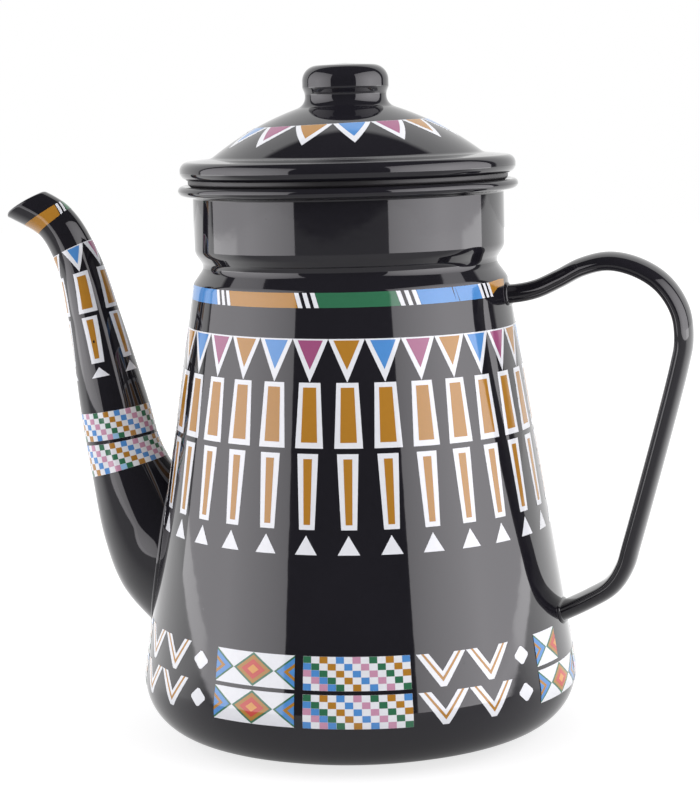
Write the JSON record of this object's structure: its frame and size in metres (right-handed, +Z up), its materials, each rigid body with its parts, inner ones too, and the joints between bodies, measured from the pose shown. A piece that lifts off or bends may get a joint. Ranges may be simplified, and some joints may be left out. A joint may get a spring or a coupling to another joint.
{
  "type": "coffee pot",
  "caption": "Conical enamelled steel dallah coffee pot with formed neck, gooseneck spout, strap handle and lift-off domed lid with drawn knob.",
  "frame": {"origin": "centre of the flat bottom, on the surface the pot stands on", "axes": "+Z up along the pot's axis, +X towards the handle, -X towards the spout"},
  "size_m": [0.237, 0.1474, 0.2263],
  "materials": {
    "black_enamel": "glossy black vitreous enamel on steel with fired-on colour transfers",
    "pale_enamel": "glossy off-white vitreous enamel on steel, the inside finish"
  },
  "bodies": {
    "pot": {"pot_wall": "black_enamel", "pot_base": "black_enamel", "spout_left": "black_enamel", "spout_right": "black_enamel", "handle_channel": "black_enamel", "handle_strip": "black_enamel"},
    "lid": {"lid_shell": "black_enamel", "lid_skirt": "pale_enamel", "knob_stem": "black_enamel", "knob_cap": "black_enamel"}
  },
  "joints": [
    {"name": "lid_lift", "type": "slide", "parent": "pot", "child": "lid", "axis": [0, 0, 1], "range_m": [0, 0.08]}
  ]
}
